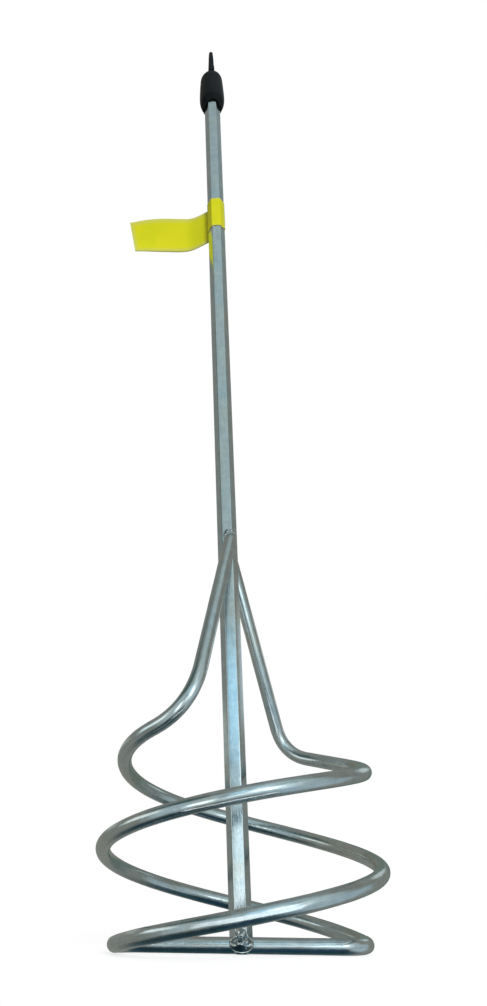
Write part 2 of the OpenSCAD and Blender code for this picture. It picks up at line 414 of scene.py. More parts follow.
# %% [markdown]
# ## Weld metal
#
# A weld bead is a puddle that froze as it was fed: a low mound with a steep
# toe, crossed by ripples, with small craters and drops. Each bead is a height
# map over a flat: rings of points spread out from its middle to an irregular
# outline, and the height is a sum of soft mounds. A short skirt carries the
# rim down into the steel, so that the bead has no gap under it.

# %% Weld beads
def bead_piece(name, middle, outline, front, turned, bright, rings=48, sides=120):
    """Rings of points at shares of the outline's radius. outline(angle) gives
    the reach and front(x, z, share) the distance in front of the shank's centre
    line, both in millimetres, with x and z measured from the bead's middle. Drops
    that stand above their surroundings and the toe get a painted highlight in the
    mask, and bright sets how much of that painted highlight the rest has."""
    share = np.concatenate([[0.01], 1 - (1 - np.linspace(0.03, 1, rings))**1.3])[:, None]
    angle = np.linspace(0, 2 * np.pi, sides, endpoint=False)[None]
    x, z = share * outline(angle) * np.cos(angle), share * outline(angle) * np.sin(angle)
    depth = front(x, z, share)
    around = sum(np.roll(np.roll(depth, i, 0), j, 1) for i in (-3, 3) for j in (-4, 4)) / 4
    grid = np.stack([middle[0] + x, -depth, middle[1] + z], 2) * MM
    inside = grid[-1:] * [0.9, 0.2, 1]
    grid = np.concatenate([grid, inside])
    if turned:
        grid = grid * [-1, -1, 1]
    # Painted highlight: the mask is high on drops that stand proud of their neighbours and on the toe
    # ring, and the finish turns these pale.
    painted_highlight = np.maximum(smooth_step(depth - around, -0.03, 0.16), bump(share, 0.92, 0.05))
    wear_and_painted_light = np.concatenate([bright + (1 - bright) * painted_highlight, np.zeros((1, sides))])
    return skin_piece(name, grid, wear_and_painted_light)


def mounds(x, z, places):
    """Sum of soft round mounds, each height * exp(-(distance / width)^2), where a
    place gives x, z, width and height in millimetres, and a crater has a minus."""
    return sum(height * np.exp(-((x - at_x)**2 + (z - at_z)**2) / width**2)
               for at_x, at_z, width, height in places)


FOOT_MIDDLE = (0.1, 4.6)
FOOT_FACE = 7.9
FOOT_CRATERS = [(-0.5, 1.9, 0.9, -1.9), (1.4, 2.6, 0.55, -1.2)]
FOOT_DROPS = [(-1.6, 0.3, 0.75, 0.8), (0.9, 0.9, 0.6, 0.7), (-3.0, 3.4, 1.05, 1.4),
              (-1.6, 5.5, 1.05, 1.2), (0.3, 4.2, 1.05, 1.2), (1.6, 5.2, 0.7, 0.8),
              (-1.3, 3.8, 0.6, 0.7), (2.8, 1.0, 0.7, 0.7), (-3.4, 1.3, 0.7, 0.7),
              (4.8, 0.1, 0.75, 0.9), (-5.1, 0.3, 0.75, 0.9), (2.0, -1.8, 0.3, 0.35)]


def foot_outline(angle):
    """A wide, low ellipse over the bar's end, with a narrow tongue up the flat:
    1 / hypot(cos / 6.1, sin / 3.9), plus a bell curve of 4.3 about straight up."""
    up = angle_off(angle, np.pi / 2)
    return (1 / np.hypot(np.cos(angle) / 6.1, np.sin(angle) / 3.9) + 4.3 * bump(up, 0, 0.52)
            + 0.12 * ripples(2 * np.cos(angle), 2 * np.sin(angle), 11))


def foot_front(x, z, share):
    """A blunt cone that stands on the bars at its sides and on the hexagon above
    and below: root + (face - root) * (1 - share^1.4). Its lower half falls away
    by height only, as a sagging puddle does, and is smooth. Above it has a
    crater, and frozen drops up the tongue. A flat toe runs round it all."""
    steep = np.abs(np.sin(np.arctan2(z, x)))
    root = 3.1 + 2.15 * steep**2
    cone = 1 - share**1.4
    across = np.clip(1 - (x / 6.3)**2, 0.01, 1)
    sag = (1 - np.clip(-z / (3.95 * np.sqrt(across)), 0, 1)**1.4) * across**0.6
    fall = sag + (cone - sag) * smooth_step(z, -1.4, 0.8)
    toe = root + (0.45 + 0.25 * ripples(x, z, 14)) * (1 - smooth_step(share, 0.97, 1))
    crater, drops = mounds(x, z, FOOT_CRATERS), mounds(x, z, FOOT_DROPS)
    lumps = (0.22 * ripples(x * 1.3, z * 1.3, 5) + 0.09 * ripples(x * 3.5, z * 3.5, 6)) * (
        smooth_step(z, -1.5, 1.2) * (1 - share**6))
    return np.clip(np.maximum(root + (FOOT_FACE - root) * fall + crater + drops + lumps, toe),
                   0.8, FOOT_FACE + 0.05)


TOP_LOBES = [(-2.5, -0.4, 0.95, 1.2), (-1.0, 1.7, 0.95, 1.3), (1.1, 2.2, 0.95, 1.2),
             (2.7, 0.4, 0.95, 1.2), (-0.4, 0.2, 0.9, -0.9), (1.4, 0.5, 0.7, -0.6)]
TOP_HUMP = [(0.5, -3.0, 2.3, 5.2)]


def top_outline(angle):
    """Longer across the flat than up it, with a tongue of 2.2 that runs down into
    the notch between the flat and the rod's cut end."""
    down = angle_off(angle, -np.pi / 2)
    return (3.7 * np.abs(np.cos(angle)) + 3.3 * np.abs(np.sin(angle))**2 + 2.2 * bump(down, 0, 0.6)
            + 0.3 * ripples(2 * np.cos(angle), 2 * np.sin(angle), 21))


def top_front(x, z, share):
    """High over the rod's cut end, which it fills up to, and falling to the flat
    above it, in lobes."""
    body = 4.0 + 1.5 * np.sqrt(np.clip(1 - share**3, 0, 1))
    lumps = 0.22 * ripples(x * 1.8, z * 1.8, 8) + 0.07 * ripples(x * 4, z * 4, 9)
    return np.clip(body + mounds(x, z, TOP_LOBES) + mounds(x, z, TOP_HUMP) + lumps, 3.8, 10.2)


front_foot_bead = bead_piece("front_foot_bead", FOOT_MIDDLE, foot_outline, foot_front, False, 0.0)
back_foot_bead = bead_piece("back_foot_bead", FOOT_MIDDLE, foot_outline, foot_front, True, 0.0)
front_top_bead = bead_piece("front_top_bead", (1.5, 217.9), top_outline, top_front, False, 0.4)
back_top_bead = bead_piece("back_top_bead", (0.6, 223.9), top_outline, top_front, True, 0.4)

# %% [markdown]
# ## Hanging cap
#
# The cap is dip moulded: a hot former is dipped in liquid plastic, which
# leaves a soft skin with no corner anywhere. It hugs the shank at its lip,
# swells over the grip, and ends in a dome with a flat tab. The sleeve is a
# profile turned round Z, from the middle of the crown's inside, down the bore,
# round the lip and back up outside. The tab is a ring of rounded section drawn
# round the hanging hole.

# %% Cap sleeve
CAP_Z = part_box("hang_cap")[0].z
CROWN_Z = SHANK_L + 0.15 * MM
SKIRT_TOP_Z = 593.5 * MM
SKIRT_RADII = [7.1, 8.5, 9.15, 9.2, 9.05, 8.85, 8.6, 8.3]
DOME_Z = 602.1 * MM


def through(values, u):
    """Smooth curve through evenly spaced values, for u from 0 to 1."""
    return curve_at(values, u * (len(values) - 1))


def hexagon_reach(angle, across_flats, softness):
    """Distance from the centre to a hexagon's side at an angle, where the sides
    square to Y are flats. Softness 0 keeps the hexagon and 1 makes it round."""
    off = (np.degrees(angle) % 60) - 30
    flat = across_flats / 2 / np.cos(np.radians(off))
    return flat + (across_flats / 2 / math.cos(math.radians(30)) - flat) * softness


def sleeve_piece():
    """Outer radii at even heights above the lip, joined smoothly, and a quarter
    of an ellipse for the dome. The bore is a hexagon with a little room."""
    angle = np.linspace(0, 2 * np.pi, 96, endpoint=False)
    bore = hexagon_reach(angle, SHANK_AF + 0.3 * MM, 0.0)
    height = np.linspace(0, 1, 40)
    skirt_z = CAP_Z + height * (SKIRT_TOP_Z - CAP_Z)
    skirt_r = through(SKIRT_RADII, height) * MM
    swing = np.linspace(0, np.pi / 2, 22)[1:-1]
    dome_z = SKIRT_TOP_Z + (DOME_Z - SKIRT_TOP_Z) * np.sin(swing)
    dome_r = SKIRT_RADII[-1] * MM * np.cos(swing)**0.78
    outer_r, outer_z = np.append(skirt_r, dome_r), np.append(skirt_z, dome_z)
    outer_r = np.append(outer_r, 0.05 * MM)
    outer_z = np.append(outer_z, DOME_Z)
    lip = np.clip(1 - (outer_z - CAP_Z) / (7 * MM), 0, 1)[:, None]
    hug = hexagon_reach(angle, SHANK_AF + 1.9 * MM, 0.35)[None] - 6.5 * MM
    soft = 0.06 * MM * ripples(3 * angle[None], outer_z[:, None] / MM * 0.25, 31)
    radius = outer_r[:, None] + hug * lip**2 * 0.6 + soft * (outer_r[:, None] / (8 * MM))
    wavy = (4.8 * np.clip(-np.sin(angle), 0, 1)**2
            + 0.3 * ripples(1.5 * np.cos(angle), 1.5 * np.sin(angle), 32)) * MM
    inner_z = np.array([CROWN_Z, CROWN_Z, CROWN_Z, CROWN_Z - 1.3 * MM, CAP_Z + 20 * MM,
                        CAP_Z + 9 * MM, CAP_Z + 5 * MM, CAP_Z + 2 * MM, CAP_Z + 0.15 * MM])
    inner_scale = np.array([0.01, 0.5, 0.85, 1, 1, 1, 1, 1, 1.01])
    inner_r = inner_scale[:, None] * bore[None]
    all_r = np.concatenate([inner_r, radius])
    all_z = np.append(inner_z, outer_z)[:, None] + 0 * all_r
    near_lip = np.clip(1 - np.abs(all_z - CAP_Z) / (9 * MM), 0, 1)
    all_z = all_z + np.clip(wavy, 0, None)[None] * near_lip
    return skin_piece("cap_sleeve", around_z(all_r, angle, all_z))


cap_sleeve = sleeve_piece()

# %% Cap tab
HOLE_Z = 610.45 * MM
HOLE_R = 3.0 * MM
TAB_HALF_WIDTH = 6.4 * MM
TAB_TOP = 13.9 * MM
TAB_BASE = 10.2 * MM
TAB_TWIST = math.radians(5)


def tab_reach(angle, half_width, top, base):
    """Distance from the hole's centre to the tab's edge: straight sides, a round
    end above and a straight base below, as the nearest of the three."""
    y, z = np.cos(angle), np.sin(angle)
    end = top - half_width
    side = half_width / np.maximum(np.abs(y), 1e-6)
    foot = np.where(z < 0, base / np.maximum(-z, 1e-6), 1e6)
    b = z * end
    arc = b + np.sqrt(np.maximum(b**2 - end**2 + half_width**2, 0))
    return np.minimum(np.where(side * z > end, arc, side), foot)


def tab_piece():
    """A rounded section ring round the hole. At each angle the section is a
    superellipse between the hole's wall and the outer edge."""
    angle = np.linspace(0, 2 * np.pi, 128, endpoint=False)
    outer = tab_reach(angle, TAB_HALF_WIDTH, TAB_TOP, TAB_BASE)
    inner = np.full_like(angle, HOLE_R)
    turn = np.linspace(0, 2 * np.pi, 28, endpoint=False)[:, None]
    side, out = np.sin(turn), np.cos(turn)
    side = np.sign(side) * np.abs(side)**0.45
    out = np.sign(out) * np.abs(out)**0.45
    reach = (inner + outer) / 2 + (outer - inner) / 2 * out
    z = reach * np.sin(angle)
    thick = (1.45 + 0.35 * smooth_step(-z / MM, -10, 2) + 0.5 * smooth_step(-z / MM, 3, 8)) * MM
    y = reach * np.cos(angle) * (1 - 0.10 * smooth_step(z / MM, 2, 14))
    x = thick * side
    grid = np.stack([x * math.cos(TAB_TWIST) - y * math.sin(TAB_TWIST),
                     x * math.sin(TAB_TWIST) + y * math.cos(TAB_TWIST), HOLE_Z + z], 2)
    return skin_piece("cap_tab", grid, ring=True)


cap_tab = tab_piece()

# %% [markdown]
# ## Paper label
#
# A strip of yellow label paper goes once round the shank and is stuck to
# itself as a flag. The band follows the flats closely but is lifted a little at
# the right-hand corner, where the paper's end stands off. The flag leaves the
# back of the shank, swings backwards, and droops and curls a little, as paper
# with gum on it does. Nothing is printed on it.

# %% Label band and flag
BAND_LOW, BAND_HIGH = 447.3, 472.9


def band_piece():
    """A ring of thin section round the shank. Its outer wall follows the
    hexagon with soft corners, and its edges run a little aslant."""
    angle = np.linspace(0, 2 * np.pi, 144, endpoint=False)
    front = -np.sin(angle)
    lifted = bump(angle_off(np.degrees(angle), 0, 360), 0, 22)
    low = (BAND_LOW + 1.7 * front + 2.0 * lifted
           + 0.15 * ripples(2 * np.cos(angle), 2 * np.sin(angle), 41)) * MM
    high = (BAND_HIGH + 0.8 * front
            + 0.15 * ripples(2 * np.cos(angle), 2 * np.sin(angle), 42)) * MM
    near = hexagon_reach(angle, SHANK_AF, 0.12)
    share = np.linspace(0, 1, 26)[:, None]
    bulge = 0.05 * np.sin(np.pi * share) + 0.03 * ripples(4 * share, 3 * angle[None], 43)
    outer = near + (0.22 + 0.08 * lifted + bulge) * MM
    inner = near + (0.05 + 0.05 * lifted + 0 * share) * MM
    z = low + (high - low) * share
    radius = np.concatenate([outer, inner[::-1]])
    z = np.concatenate([z, z[::-1]])
    edge = np.concatenate([np.abs(2 * share - 1), np.abs(2 * share - 1)])
    # Mask for painted light: the paper's top and bottom edges and its lifted end are painted paler.
    wear_and_painted_light = np.maximum(smooth_step(edge, 0.88, 1.0), lifted[None] * 0.8)
    return skin_piece("label_band", around_z(radius, angle, z), wear_and_painted_light, ring=True)


FLAG_TOP = [472.8, 470.5, 471.2, 472.4, 472.0, 470.1]
FLAG_BOTTOM = [444.6, 442.3, 441.4, 442.3, 443.2, 444.0]


def flag_piece():
    """A thin slab: rows run out along the flag, and each row goes up its front
    face and down its back. The middle line swings back by a smooth step."""
    u = np.linspace(0, 1, 70)[:, None]
    v = np.linspace(0, 1, 24)[None]
    v = np.concatenate([v, v[:, ::-1]], 1)
    face = np.concatenate([-np.ones((1, 24)), np.ones((1, 24))], 1)
    tip = -58.2 - 4.0 * v
    x = -1.5 + (tip + 1.5) * u
    swing = smooth_step(-x, 2, 22)
    y = 5.45 + 5.55 * swing
    curl = (1.1 * (2 * v - 1)**2 * smooth_step(-x, 30, 62)
            - 0.5 * np.sin(np.pi * v) * smooth_step(-x, 8, 30))
    buckle = 0.35 * ripples(u * 7, v * 1.5, 51, octaves=2) * smooth_step(-x, 6, 16)
    thickness = 0.26 + 0.06 * ripples(u * 9, v * 3, 52)
    y = y - curl + buckle + face * thickness
    low, high = through(FLAG_BOTTOM, u), through(FLAG_TOP, u)
    z = low + (high - low) * v
    grid = np.stack([x, y, z], 2) * MM
    # Mask for painted light: the flag's long edges and its tip are painted paler.
    wear_and_painted_light = np.maximum(smooth_step(np.abs(2 * v - 1), 0.70, 0.96), smooth_step(u + 0 * v, 0.94, 0.99))
    return skin_piece("label_flag", grid, wear_and_painted_light)


label_band = band_piece()
label_flag = flag_piece()

# %% Ride and replace
STAND_INS = [
    (front_rod, "paddle", "front_rod", "rod_zinc"),
    (back_rod, "paddle", "back_rod", "rod_zinc"),
    (shank, "paddle", "hex_shank", "shank_zinc"),
    (front_foot_bead, "paddle", "front_foot_weld", "weld_zinc"),
    (back_foot_bead, "paddle", "back_foot_weld", "weld_zinc"),
    (front_top_bead, "paddle", "front_top_weld", "weld_zinc"),
    (back_top_bead, "paddle", "back_top_weld", "weld_zinc"),
    (cap_sleeve, "cap", "hang_cap", "cap_pvc"),
    (cap_tab, "cap", "hang_cap", "cap_pvc"),
    (label_band, "paddle", "size_label", "label_paper"),
    (label_flag, "paddle", "size_label", "label_paper"),
]
for piece, body, node, slot in STAND_INS:
    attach(piece, body)
    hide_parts(node)
print(len(STAND_INS), "pieces ride on the frame")

# %% [markdown]
# ## Zinc plate
#
# Bright zinc plate is a thin, slightly blue metal coat over drawn steel. Under
# it the drawing lines of the bar run lengthwise, and over it the chromate dip
# dries in soft patches that shift the tint from blue to straw. Two node groups
# make these: one mixes the patch colours, and the other makes the surface
# height from long drawing lines and a fine mottle.

# %% Node helpers
def node_group(name, inputs, outputs):
    """An empty shader node group with float or colour sockets. inputs and
    outputs are lists of (name, socket type, default)."""
    group = bpy.data.node_groups.new(name, "ShaderNodeTree")
    for direction, sockets in (("INPUT", inputs), ("OUTPUT", outputs)):
        for label, kind, default in sockets:
            socket = group.interface.new_socket(label, in_out=direction, socket_type=kind)
            if default is not None:
                socket.default_value = default
    entry = group.nodes.new("NodeGroupInput")
    result = group.nodes.new("NodeGroupOutput")
    return group, entry, result


def feed(tree, socket, value):
    """Link another node's output to a socket, or set the socket's own value."""
    if isinstance(value, bpy.types.NodeSocket):
        tree.links.new(value, socket)
    else:
        socket.default_value = value


def add_node(tree, kind, settings=None, **values):
    """A node with its properties set from settings and its inputs from values,
    where an input may be a number, a colour or another node's output."""
    node = tree.nodes.new(kind)
    for key, value in (settings or {}).items():
        setattr(node, key, value)
    for key, value in values.items():
        feed(tree, node.inputs[key.replace("_", " ")], value)
    return node


def blend_colours(tree, factor, first, second, blend="MIX"):
    """Output of a Mix node between two colours, or of their product."""
    mix = add_node(tree, "ShaderNodeMix", {"data_type": "RGBA", "blend_type": blend})
    for socket, value in ((mix.inputs[0], factor), (mix.inputs[6], first), (mix.inputs[7], second)):
        feed(tree, socket, value)
    return mix.outputs[2]


def do_math(tree, operation, first, second=0.0):
    """Output of a Math node with two operands."""
    node = add_node(tree, "ShaderNodeMath", {"operation": operation})
    feed(tree, node.inputs[0], first)
    feed(tree, node.inputs[1], second)
    return node.outputs[0]


def stretch(tree, value, low, high, to_low=0.0, to_high=1.0):
    """Output of a clamped, smooth Map Range node."""
    node = add_node(tree, "ShaderNodeMapRange", {"interpolation_type": "SMOOTHSTEP"})
    for socket, number in zip(node.inputs[:5], (value, low, high, to_low, to_high)):
        feed(tree, socket, number)
    return node.outputs[0]


def new_material(name):
    """A material that uses nodes, with its node tree and its Principled BSDF."""
    material = bpy.data.materials.new(name)
    material.use_nodes = True
    return material, material.node_tree, material.node_tree.nodes["Principled BSDF"]

# %% Passivation group
# Pale metal mixed in by the mask. On the rods and shank it is rubbed metal, and on the weld beads'
# drops and toe it is a painted highlight.
RUBBED_AND_HIGHLIGHT_METAL = (0.86, 0.88, 0.88, 1)


def passivation_group():
    """Patch colours of the chromate dip: two soft noises choose between the
    main tint, a bluer one and a straw one. Where the mask is high the colour is
    mixed to pale metal. On the rods and shank that is rubbed metal, and on the weld
    beads it is a painted highlight."""
    colour, number, vector = "NodeSocketColor", "NodeSocketFloat", "NodeSocketVector"
    group, entry, result = node_group(
        "zinc_passivation",
        [("Position", vector, None), ("Zinc", colour, (0.7, 0.75, 0.77, 1)),
         ("Blue", colour, (0.6, 0.7, 0.78, 1)), ("Straw", colour, (0.74, 0.71, 0.62, 1)),
         ("Amount", number, 0.6), ("Wear", number, 0.0), ("Rub", number, 0.5)],
        [("Colour", colour, None), ("Patch", number, None)])
    broad = add_node(group, "ShaderNodeTexNoise", Vector=entry.outputs["Position"],
                     Scale=38.0, Detail=3.0, Roughness=0.55)
    fine = add_node(group, "ShaderNodeTexNoise", Vector=entry.outputs["Position"],
                    Scale=190.0, Detail=4.0, Roughness=0.6)
    blue_mask = do_math(group, "MULTIPLY", stretch(group, broad.outputs[0], 0.5, 0.68),
                        entry.outputs["Amount"])
    straw_mask = do_math(group, "MULTIPLY", stretch(group, broad.outputs[0], 0.46, 0.32),
                         entry.outputs["Amount"])
    tinted = blend_colours(group, blue_mask, entry.outputs["Zinc"], entry.outputs["Blue"])
    tinted = blend_colours(group, straw_mask, tinted, entry.outputs["Straw"])
    cloud = stretch(group, fine.outputs[0], 0.35, 0.65, 0.88, 1.0)
    cloudy = blend_colours(group, 1.0, tinted, cloud, "MULTIPLY")
    rubbed_and_highlit = do_math(group, "MULTIPLY", entry.outputs["Wear"], entry.outputs["Rub"])
    final = blend_colours(group, rubbed_and_highlit, cloudy, RUBBED_AND_HIGHLIGHT_METAL)
    group.links.new(final, result.inputs["Colour"])
    group.links.new(fine.outputs[0], result.inputs["Patch"])
    return group


passivation = passivation_group()

# %% Drawn surface group
def drawn_surface_group():
    """Surface height of drawn and plated bar: lines that are long along U and
    fine across V, plus a mottle with equal grain both ways."""
    number, vector = "NodeSocketFloat", "NodeSocketVector"
    group, entry, result = node_group(
        "drawn_surface",
        [("Drawn", vector, None), ("Position", vector, None), ("Lines", number, 0.4),
         ("Mottle", number, 0.6)],
        [("Height", number, None), ("Mask", number, None), ("Streak", number, None)])
    mapping = add_node(group, "ShaderNodeMapping", Vector=entry.outputs["Drawn"])
    mapping.inputs["Scale"].default_value = (0.06, 2.4, 1.0)
    lines = add_node(group, "ShaderNodeTexNoise", Vector=mapping.outputs[0], Scale=1.0,
                     Detail=4.0, Roughness=0.65)
    flecks = add_node(group, "ShaderNodeMapping", Vector=entry.outputs["Drawn"])
    flecks.inputs["Scale"].default_value = (0.35, 1.5, 1.0)
    fleck = add_node(group, "ShaderNodeTexNoise", Vector=flecks.outputs[0], Scale=1.0,
                     Detail=3.0, Roughness=0.6)
    mottle = add_node(group, "ShaderNodeTexNoise", Vector=entry.outputs["Position"],
                      Scale=420.0, Detail=2.0, Roughness=0.5)
    high = do_math(group, "ADD",
                   do_math(group, "MULTIPLY", lines.outputs[0], entry.outputs["Lines"]),
                   do_math(group, "MULTIPLY", mottle.outputs[0], entry.outputs["Mottle"]))
    group.links.new(high, result.inputs["Height"])
    group.links.new(stretch(group, fleck.outputs[0], 0.38, 0.66), result.inputs["Mask"])
    group.links.new(stretch(group, lines.outputs[0], 0.36, 0.62), result.inputs["Streak"])
    return group


drawn_surface = drawn_surface_group()

# %% Zinc materials
def zinc_material(name, zinc, blue, straw, patchy, rub_and_highlight, lines, mottle, streak, smooth, rough,
                  relief):
    """Plated steel: passivation colours, roughness between smooth and rough by
    patch and mottle, and a bump from the drawn surface."""
    material, tree, shader = new_material(name)
    shader.inputs["Metallic"].default_value = 1.0
    place = add_node(tree, "ShaderNodeTexCoord")
    uv = add_node(tree, "ShaderNodeUVMap", {"uv_map": "drawn"})
    wear_and_painted_light = add_node(tree, "ShaderNodeAttribute", {"attribute_name": "wear_and_painted_light"})
    tint = add_node(tree, "ShaderNodeGroup", {"node_tree": passivation},
                    Position=place.outputs["Object"], Zinc=zinc, Blue=blue, Straw=straw,
                    Amount=patchy, Wear=wear_and_painted_light.outputs["Fac"], Rub=rub_and_highlight)
    surface = add_node(tree, "ShaderNodeGroup", {"node_tree": drawn_surface},
                       Drawn=uv.outputs[0], Position=place.outputs["Object"], Lines=lines,
                       Mottle=mottle)
    streaked = blend_colours(tree, 1.0, tint.outputs["Colour"],
                             stretch(tree, surface.outputs["Streak"], 0, 1, 1 - streak, 1), "MULTIPLY")
    tree.links.new(streaked, shader.inputs["Base Color"])
    mixed = do_math(tree, "MULTIPLY", tint.outputs["Patch"], surface.outputs["Mask"])
    tree.links.new(stretch(tree, mixed, 0.1, 0.5, smooth, rough), shader.inputs["Roughness"])
    relief_node = add_node(tree, "ShaderNodeBump", Strength=1.0, Distance=relief,
                           Height=surface.outputs["Height"])
    tree.links.new(relief_node.outputs[0], shader.inputs["Normal"])
    return material


rod_zinc = zinc_material("rod_zinc", (0.66, 0.73, 0.75, 1), (0.58, 0.70, 0.78, 1),
                         (0.70, 0.70, 0.66, 1), 0.7, rub_and_highlight=0.5, lines=0.6, mottle=0.10,
                         streak=0.14, smooth=0.14, rough=0.27, relief=0.00004)
shank_zinc = zinc_material("shank_zinc", (0.66, 0.74, 0.77, 1), (0.56, 0.70, 0.80, 1),
                           (0.70, 0.71, 0.67, 1), 0.7, rub_and_highlight=0.4, lines=0.5, mottle=0.05,
                           streak=0.10, smooth=0.15, rough=0.26, relief=0.00002)
# The weld's base colours are about half as bright as the rods': painted shade for its pits and hollows.
# Its drops and toe are mixed fully to pale metal as a painted highlight.
weld_zinc = zinc_material("weld_zinc", (0.30, 0.37, 0.39, 1), (0.24, 0.34, 0.39, 1),
                          (0.38, 0.37, 0.32, 1), 0.5, rub_and_highlight=1.0, lines=0.0, mottle=0.4,
                          streak=0.2, smooth=0.08, rough=0.2, relief=0.00006)

# %% [markdown]
# ## Soft plastic and paper
#
# Dip-moulded plastic is nearly black, with a soft sheen and a faint orange
# peel. Label paper is dyed yellow with a smooth front. Its rim and the end that
# stands off the shank are painted paler, as painted light for the light that
# shines through the thin cut edge, and its colour drifts a little from place to place.

# %% Cap and label materials
def plastic_material():
    """Near-black vinyl whose roughness varies with a soft cloud, and with a fine
    orange peel in its bump."""
    material, tree, shader = new_material("cap_pvc")
    place = add_node(tree, "ShaderNodeTexCoord")
    cloud = add_node(tree, "ShaderNodeTexNoise", Vector=place.outputs["Object"], Scale=160.0,
                     Detail=3.0)
    peel = add_node(tree, "ShaderNodeTexNoise", Vector=place.outputs["Object"], Scale=1500.0,
                    Detail=2.0)
    colour = blend_colours(tree, stretch(tree, cloud.outputs[0], 0.3, 0.7),
                           (0.003, 0.004, 0.005, 1), (0.007, 0.0085, 0.011, 1))
    shader.inputs["Specular IOR Level"].default_value = 0.2
    tree.links.new(colour, shader.inputs["Base Color"])
    tree.links.new(stretch(tree, cloud.outputs[0], 0.3, 0.7, 0.3, 0.46), shader.inputs["Roughness"])
    relief = add_node(tree, "ShaderNodeBump", Strength=1.0, Distance=0.00001,
                      Height=peel.outputs[0])
    tree.links.new(relief.outputs[0], shader.inputs["Normal"])
    return material


def paper_material():
    """Yellow paper: a slow drift between two yellows, painted paler where the
    mask is high, as painted light shining through the thin edges, with fine
    fibres in the bump."""
    material, tree, shader = new_material("label_paper")
    place = add_node(tree, "ShaderNodeTexCoord")
    wear_and_painted_light = add_node(tree, "ShaderNodeAttribute", {"attribute_name": "wear_and_painted_light"})
    drift = add_node(tree, "ShaderNodeTexNoise", Vector=place.outputs["Object"], Scale=60.0,
                     Detail=3.0)
    fibre = add_node(tree, "ShaderNodeTexNoise", Vector=place.outputs["Object"], Scale=1400.0,
                     Detail=4.0, Roughness=0.7)
    yellow = blend_colours(tree, stretch(tree, drift.outputs[0], 0.35, 0.65),
                           (0.66, 0.68, 0.008, 1), (0.72, 0.70, 0.010, 1))
    # Painted light: the edges and the lifted end are mixed to a paler yellow-grey, as if light came
    # through the paper.
    painted_edge_light = do_math(tree, "MULTIPLY", wear_and_painted_light.outputs["Fac"],
                   stretch(tree, fibre.outputs[0], 0.25, 0.7, 0.45, 0.85))
    colour = blend_colours(tree, painted_edge_light, yellow, (0.60, 0.62, 0.16, 1))
    shader.inputs["Specular IOR Level"].default_value = 0.25
    tree.links.new(colour, shader.inputs["Base Color"])
    tree.links.new(stretch(tree, fibre.outputs[0], 0.3, 0.7, 0.5, 0.7), shader.inputs["Roughness"])
    relief = add_node(tree, "ShaderNodeBump", Strength=1.0, Distance=0.00003,
                      Height=fibre.outputs[0])
    tree.links.new(relief.outputs[0], shader.inputs["Normal"])
    return material


cap_pvc = plastic_material()
label_paper = paper_material()
FINISHES = {"rod_zinc": rod_zinc, "shank_zinc": shank_zinc, "weld_zinc": weld_zinc,
            "cap_pvc": cap_pvc, "label_paper": label_paper}
for piece, body, node, slot in STAND_INS:
    piece.data.materials.append(FINISHES[slot])

# %% [markdown]
# ## Studio
#
# Polished metal has hardly any colour of its own: it shows what stands round
# it. A photographer therefore hangs a tent of panels round such a tool. Here
# one tent does that, with a small card close in front of the cage, near the
# floor. Both are seen only in reflections. The tent's colour is a sum of soft
# panels: a big window in front, a small one to the left, grey walls and a dark
# mat below. The pale floor catches the shadow, and the white backdrop is the
# world itself.

# %% World and floor
def seen_rays(tree):
    """1 for rays from the camera, a mirror or glass, and 0 for rays of light."""
    path = add_node(tree, "ShaderNodeLightPath")
    return do_math(tree, "MAXIMUM", path.outputs["Is Camera Ray"],
                   do_math(tree, "MAXIMUM", path.outputs["Is Glossy Ray"],
                           path.outputs["Is Transmission Ray"]))


def studio_world(level):
    """Even light at a plain level for the object, and pure white for what the
    camera, mirrors and glass see past it."""
    world = bpy.data.worlds.new("studio")
    bpy.context.scene.world = world
    world.use_nodes = True
    tree = world.node_tree
    tree.nodes.clear()
    light = add_node(tree, "ShaderNodeBackground", Color=(1, 1, 1, 1), Strength=level)
    backdrop = add_node(tree, "ShaderNodeBackground", Color=(1, 1, 1, 1), Strength=1.0)
    mix = add_node(tree, "ShaderNodeMixShader")
    tree.links.new(seen_rays(tree), mix.inputs[0])
    tree.links.new(light.outputs[0], mix.inputs[1])
    tree.links.new(backdrop.outputs[0], mix.inputs[2])
    out = add_node(tree, "ShaderNodeOutputWorld")
    tree.links.new(mix.outputs[0], out.inputs[0])


def stage_mesh(name, points, faces, material):
    """A mesh that belongs to the studio, not to the paddle."""
    mesh = bpy.data.meshes.new(name)
    mesh.from_pydata(points, [], faces)
    mesh.materials.append(material)
    thing = bpy.data.objects.new(name, mesh)
    bpy.context.scene.collection.objects.link(thing)
    return thing


def floor_material(paint, lift):
    """Matt white paint, plus a little light of its own for what the camera
    sees, so that the open floor comes out white and the shadow stays."""
    material, tree, shader = new_material("pale_floor")
    shader.inputs["Base Color"].default_value = paint
    shader.inputs["Roughness"].default_value = 1.0
    shader.inputs["Specular IOR Level"].default_value = 0.0
    shader.inputs["Emission Color"].default_value = (1, 1, 1, 1)
    tree.links.new(do_math(tree, "MULTIPLY", seen_rays(tree), lift),
                   shader.inputs["Emission Strength"])
    return material


FLOOR_HALF = 6.0
FLOOR_GAP = 0.0002
studio_world(0.34)
floor = stage_mesh("floor", [(-FLOOR_HALF, -FLOOR_HALF, 0), (FLOOR_HALF, -FLOOR_HALF, 0),
                             (FLOOR_HALF, FLOOR_HALF, 0), (-FLOOR_HALF, FLOOR_HALF, 0)],
                   [(0, 1, 2, 3)], floor_material((0.45, 0.45, 0.45, 1), 0.76))
floor.location.z = -FLOOR_GAP

